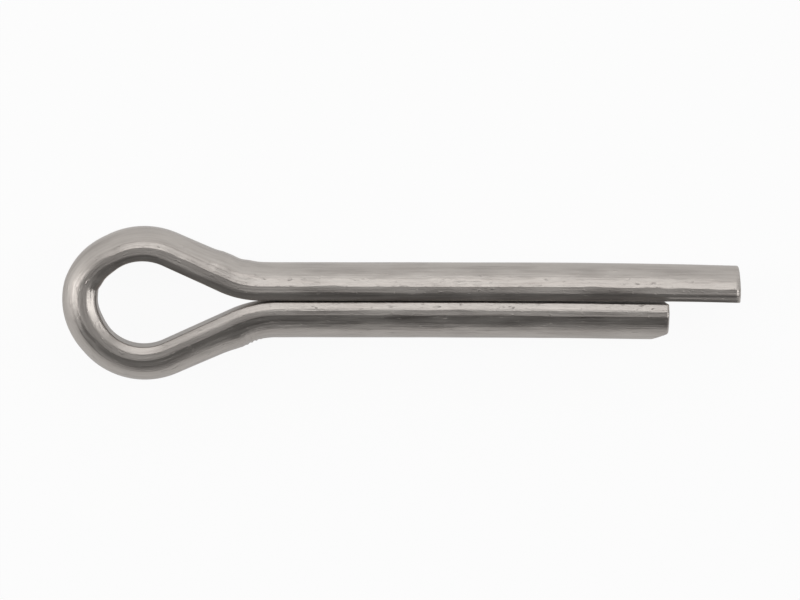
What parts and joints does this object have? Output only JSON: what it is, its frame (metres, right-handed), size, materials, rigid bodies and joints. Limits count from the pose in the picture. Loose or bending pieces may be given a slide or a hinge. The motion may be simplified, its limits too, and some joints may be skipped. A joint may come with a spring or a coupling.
{
  "type": "cotter pin",
  "caption": "Split pin of half-round wire folded back on itself: a teardrop eye at one end and two flat-faced legs of unequal length that close into a round shank.",
  "frame": {"origin": "on the axis of the round shank, where the straight shank begins under the head", "axes": "+X along the shank from the eye to the tips of the legs, +Y to the side of the longer leg, +Z across the width of the wire; the pin lies on its side, on the narrow flats of the wire"},
  "size_m": [0.0405, 0.0092, 0.0042],
  "materials": {
    "steel": "satin"
  },
  "bodies": {
    "root": {"cotter_pin": "steel"}
  },
  "joints": []
}
